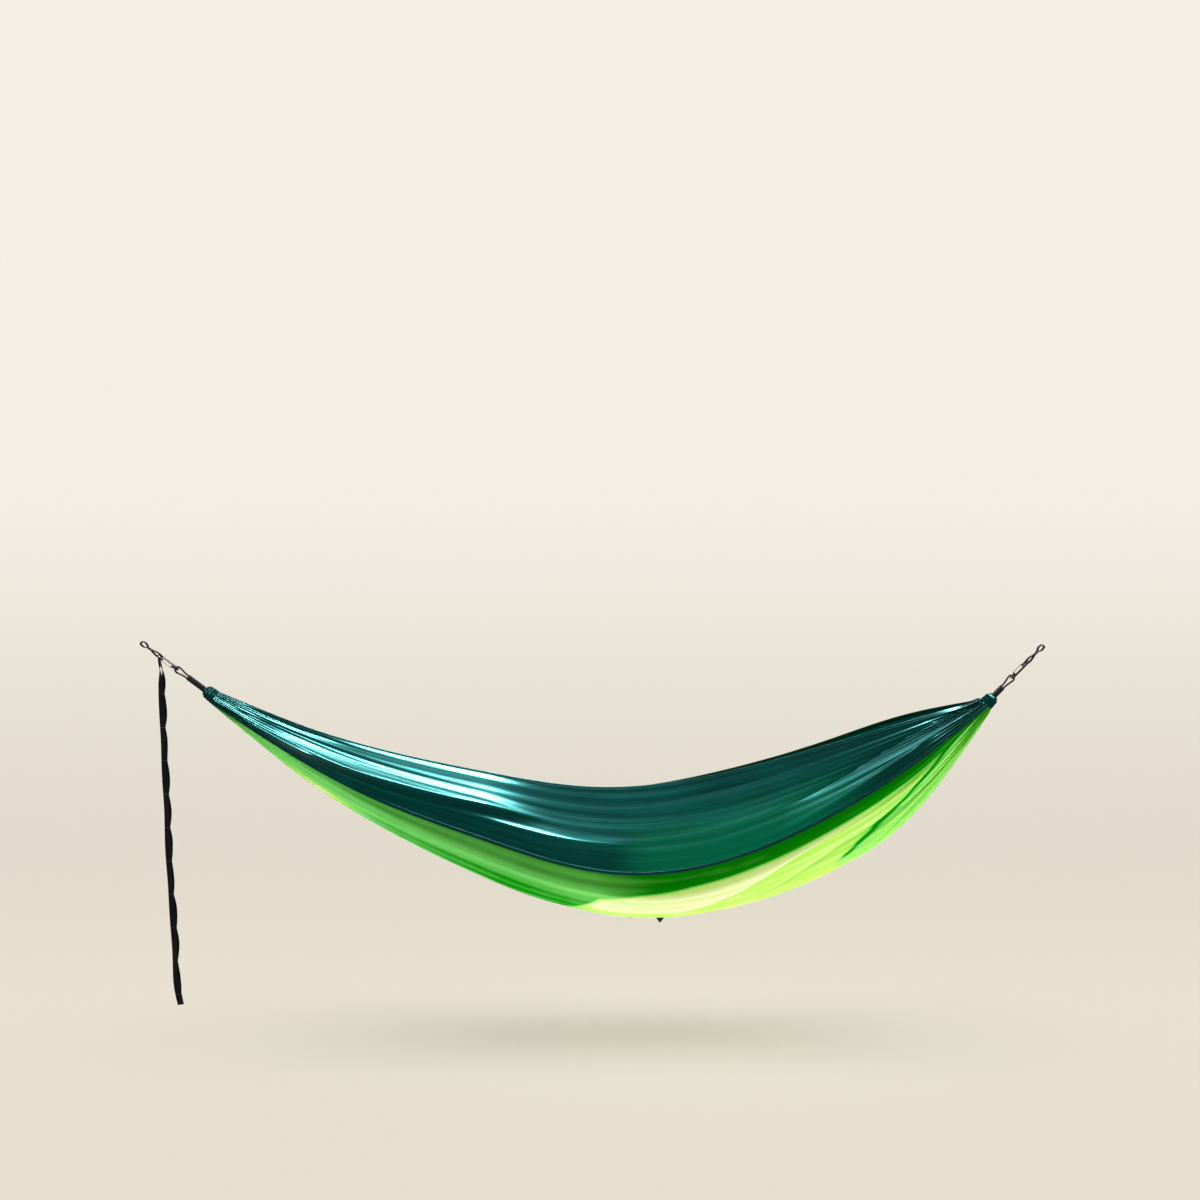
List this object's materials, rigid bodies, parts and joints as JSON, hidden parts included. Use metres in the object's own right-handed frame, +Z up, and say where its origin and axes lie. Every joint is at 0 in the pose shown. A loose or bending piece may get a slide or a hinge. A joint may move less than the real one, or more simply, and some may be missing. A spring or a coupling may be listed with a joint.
{
  "type": "parachute hammock",
  "caption": "Three-panel parachute-cloth hammock hung open between two looped tree straps, with clips, gathered ends, a hanging strap tail and a small stuff sack.",
  "frame": {"origin": "centre of the flat seat inside the left strap's outer eye, where a hook or hitch bears", "axes": "+X level along the hammock from the left anchor to the right one, +Y away from the viewer of the picture, +Z up"},
  "size_m": [2.8927, 0.4852, 1.1653],
  "materials": {
    "teal_nylon": "satin",
    "lime_nylon": "satin",
    "black_rope": "matt braid",
    "black_cord": "matt braid",
    "black_webbing": "woven",
    "black_alloy": "black anodised",
    "gate_wire": "satin",
    "lock_plastic": "moulded"
  },
  "bodies": {
    "anchor_straps": {"left_tree_strap": "black_webbing", "right_tree_strap": "black_webbing", "left_carabiner": "black_alloy", "right_carabiner": "black_alloy"},
    "bed": {"near_side_panel": "teal_nylon", "centre_panel": "lime_nylon", "far_side_panel": "teal_nylon", "left_end_channel": "teal_nylon", "right_end_channel": "teal_nylon", "left_rope_loop": "black_rope", "right_rope_loop": "black_rope", "left_rope_whipping": "black_cord", "right_rope_whipping": "black_cord", "left_rope_knot": "black_rope", "right_rope_knot": "black_rope", "stuff_sack_tab": "black_webbing"},
    "left_gate": {"left_carabiner_gate": "gate_wire"},
    "right_gate": {"right_carabiner_gate": "gate_wire"},
    "strap_tail": {"left_strap_tail": "black_webbing"},
    "sack": {"stuff_sack": "teal_nylon", "stuff_sack_drawcord": "black_cord"},
    "cord_lock": {"cord_lock_body": "lock_plastic", "cord_lock_spring": "gate_wire"},
    "lock_button": {"cord_lock_button": "lock_plastic"}
  },
  "joints": [
    {"name": "bed_swing", "type": "hinge", "parent": "anchor_straps", "child": "bed", "pos_m": [0.11465, 0, -0.08546], "axis": [0.9999, 0, -0.01], "range_deg": [-25, 25]},
    {"name": "left_gate_hinge", "type": "hinge", "parent": "anchor_straps", "child": "left_gate", "pos_m": [0.10147, -0.01685, -0.07563], "axis": [-0.5976, 0, -0.8018], "range_deg": [0, 28], "stiffness_Nm_per_rad": 0.15, "springref_deg": -20.05},
    {"name": "right_gate_hinge", "type": "hinge", "parent": "anchor_straps", "child": "right_gate", "pos_m": [2.79545, 0.01685, -0.10042], "axis": [0.7145, 0, -0.6997], "range_deg": [0, 28], "stiffness_Nm_per_rad": 0.15, "springref_deg": -20.05},
    {"name": "strap_tail_swing", "type": "hinge", "parent": "anchor_straps", "child": "strap_tail", "pos_m": [0.05612, 0, -0.04183], "axis": [0, 1, 0], "range_deg": [-15, 40]},
    {"name": "sack_swing", "type": "hinge", "parent": "bed", "child": "sack", "pos_m": [1.66659, 0.24273, -0.74227], "axis": [1, 0, 0], "range_deg": [-20, 45]},
    {"name": "cord_lock_slide", "type": "slide", "parent": "sack", "child": "cord_lock", "axis": [0, 0, 1], "range_m": [-0.03, 0.018]},
    {"name": "cord_lock_button_press", "type": "slide", "parent": "cord_lock", "child": "lock_button", "axis": [1, 0, 0], "range_m": [0, 0.0032], "stiffness_N_per_m": 400, "springref_m": -0.004, "deforming": ["cord_lock_spring"]}
  ]
}
